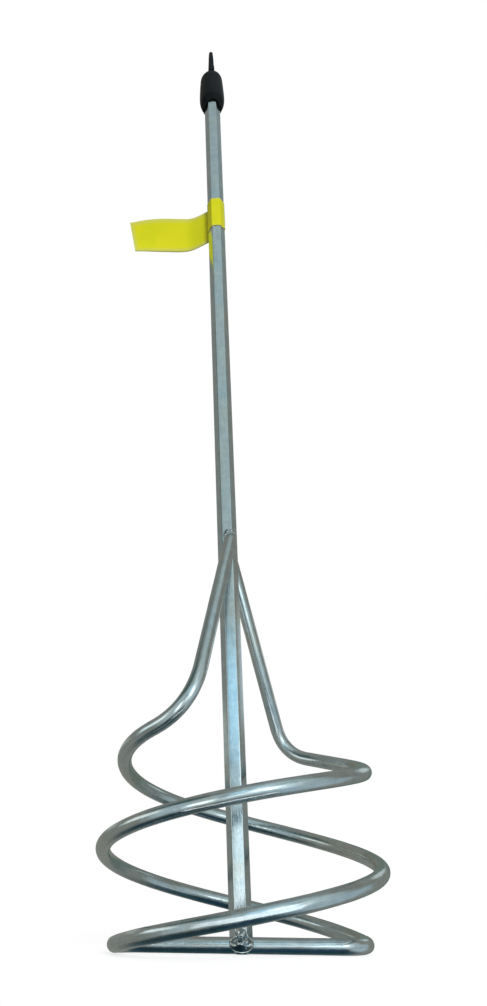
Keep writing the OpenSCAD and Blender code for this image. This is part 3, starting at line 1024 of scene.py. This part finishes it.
# %% Reflection tent
ROOM = np.array([0.265, 0.272, 0.245])
PANELS = [
    # name, azimuth, elevation, half width, half height, softness, lean, colour
    ("ceiling", 50, 88, 90, 16, 20, 0, (0.31, 0.365, 0.375)),
    ("front wall", 5, -2, 54, 24, 26, 0, (0.49, 0.58, 0.60)),
    ("upper wall", 25, 43, 26, 18, 28, 0, (0.49, 0.59, 0.59)),
    ("right wall", 68, -28, 20, 20, 22, 0, (0.44, 0.54, 0.58)),
    ("right door", 155, -8, 12, 34, 14, 0, (0.17, 0.21, 0.185)),
    ("right lamp", 131, 20, 8, 5, 8, 0, (0.66, 0.74, 0.74)),
    ("left door", -168, 18, 10, 12, 12, 0, (0.21, 0.215, 0.175)),
    ("beam", -134, 10, 16, 2, 7, -1.0, (0.46, 0.48, 0.43)),
    ("picture rail", -64, 44, 24, 10, 13, 0, (0.075, 0.125, 0.125)),
    ("side window", -76, 6, 12, 6, 9, -0.2, (1.15, 1.25, 1.22)),
    ("window glow", 28, -1, 10, 12, 18, 0, (0.80, 0.94, 0.94)),
    ("window top", 17, 24, 3, 12, 8, 0, (0.95, 1.10, 1.12)),
    ("window", 21, 0, 6, 8, 8, 0, (2.20, 2.45, 2.48)),
    ("window foot", 16, -11, 3, 3, 6, 0, (1.10, 1.28, 1.30)),
    ("low lamp", -22, -13, 5, 6, 7, 0, (2.00, 2.25, 2.25)),
    ("blue sky", 1, 15, 4, 5, 7, 0, (0.68, 1.10, 1.34)),
    ("white card", 2, -9, 4, 5, 5, 0, (1.22, 1.43, 1.48)),
    ("window bar", -9, 18, 1, 20, 3, 0, (0.28, 0.36, 0.37)),
]
MAT = np.array([0.030, 0.057, 0.067])
BLUE_MAT = np.array([0.028, 0.070, 0.112])
PALE_MAT = np.array([0.072, 0.115, 0.130])
MAT_FADE = np.array([0.50, 0.32, 0.25])


def tent_colour(azimuth, elevation):
    """Room colour, with each panel mixed over it by a soft-edged box in azimuth
    and elevation, and a dark mat below that is bluer in front, paler on the
    right and behind, and darker still straight down."""
    colour = np.broadcast_to(ROOM, azimuth.shape + (3,)).copy()
    for name, az, el, wide, high, soft, lean, tint in PANELS:
        centre = az + lean * (elevation - el)
        off = np.abs(angle_off(azimuth, centre, 360))
        share = (1 - smooth_step(off, wide, wide + soft)) * (
            1 - smooth_step(np.abs(elevation - el), high, high + soft * 0.8))
        colour = colour + (np.array(tint) - colour) * share[..., None]
    rightward = smooth_step(np.cos(np.radians(azimuth - 110)), 0.1, 0.8)
    backward = smooth_step(-np.cos(np.radians(azimuth)), 0.2, 0.9)
    forward = bump(azimuth, 10, 14)
    mat = MAT + (PALE_MAT - MAT) * np.maximum(rightward, 0.6 * backward)[..., None]
    mat = mat + (BLUE_MAT - mat) * forward[..., None]
    mat = mat * (1 - MAT_FADE * smooth_step(-elevation, 56, 72)[..., None])
    mat_edge = -42 - 14 * rightward - 5 * backward + 5 * forward
    below = 1 - smooth_step(elevation, mat_edge - 11, mat_edge + 9)
    return colour + (mat - colour) * below[..., None]


def tent_material():
    """Light of the colour that is stored on the tent."""
    material, tree, _ = new_material("tent_cloth")
    tree.nodes.clear()
    colour = add_node(tree, "ShaderNodeAttribute", {"attribute_name": "cloth"})
    light = add_node(tree, "ShaderNodeEmission", Color=colour.outputs["Color"], Strength=1.0)
    out = add_node(tree, "ShaderNodeOutputMaterial")
    tree.links.new(light.outputs[0], out.inputs[0])
    return material


def hide_from_camera(thing):
    """Leave a studio piece to be seen in reflections only."""
    thing.visible_camera = False
    thing.visible_diffuse = False
    thing.visible_shadow = False
    thing.visible_transmission = False


def low_card(left, right, low, high, y, dim, bright):
    """A small upright reflector just in front of the cage, near the floor, which
    shades from a dim left edge to a bright right one."""
    corners = [(left, y, low), (right, y, low), (right, y, high), (left, y, high)]
    card = stage_mesh("low_card", [Vector(c) * MM for c in corners], [(0, 1, 2, 3)], tent_material())
    cloth = card.data.attributes.new("cloth", "FLOAT_COLOR", "POINT").data
    cloth.foreach_set("color", [*dim, *bright, *bright, *dim])
    hide_from_camera(card)


TENT_EDGE = 78


def reflection_tent(radius, centre_z):
    """A tall drum round the paddle, with rows of equal elevation as seen from
    its middle and columns of equal azimuth, where azimuth 0 is the front (-Y)
    and 90 is +X. The first and last rows shrink to close the ends."""
    elevation = np.concatenate([[-TENT_EDGE] * 2, np.linspace(-TENT_EDGE, TENT_EDGE, 196),
                                [TENT_EDGE] * 2])
    width = np.concatenate([[0.01, 0.6], np.ones(196), [0.6, 0.01]])[:, None]
    azimuth = np.linspace(-180, 180, 360, endpoint=False)
    el, az = np.meshgrid(elevation, azimuth, indexing="ij")
    points = radius * np.stack([width * np.sin(np.radians(az)), -width * np.cos(np.radians(az)),
                                np.tan(np.radians(el))], 2)
    points[..., 2] += centre_z
    faces = grid_faces(len(elevation), len(azimuth))[0]
    tent = stage_mesh("reflection_tent", points.reshape(-1, 3), faces.tolist(), tent_material())
    tint = tent_colour(az, el).reshape(-1, 3)
    rgba = np.concatenate([tint, np.ones((len(tint), 1))], 1)
    tent.data.attributes.new("cloth", "FLOAT_COLOR", "POINT").data.foreach_set("color", rgba.ravel())
    hide_from_camera(tent)


reflection_tent(radius=0.3, centre_z=0.1)
low_card(left=-45, right=55, low=3, high=27, y=-92, dim=(0.95, 1.03, 1.06, 1),
         bright=(1.65, 1.75, 1.75, 1))
floor.visible_glossy = False

# %% Lamps
def soft_sun(name, toward, spread, strength):
    """A distant lamp with a wide disc, so that its shadows have soft edges and
    its light is equally strong all over the floor."""
    data = bpy.data.lights.new(name, "SUN")
    data.angle = math.radians(spread)
    data.energy = strength
    lamp = bpy.data.objects.new(name, data)
    lamp.rotation_euler = Vector(toward).to_track_quat("-Z", "Y").to_euler()
    lamp.visible_glossy = False
    bpy.context.scene.collection.objects.link(lamp)


soft_sun("front_light", (-0.3, 0.9, -0.32), 25, 2.3)
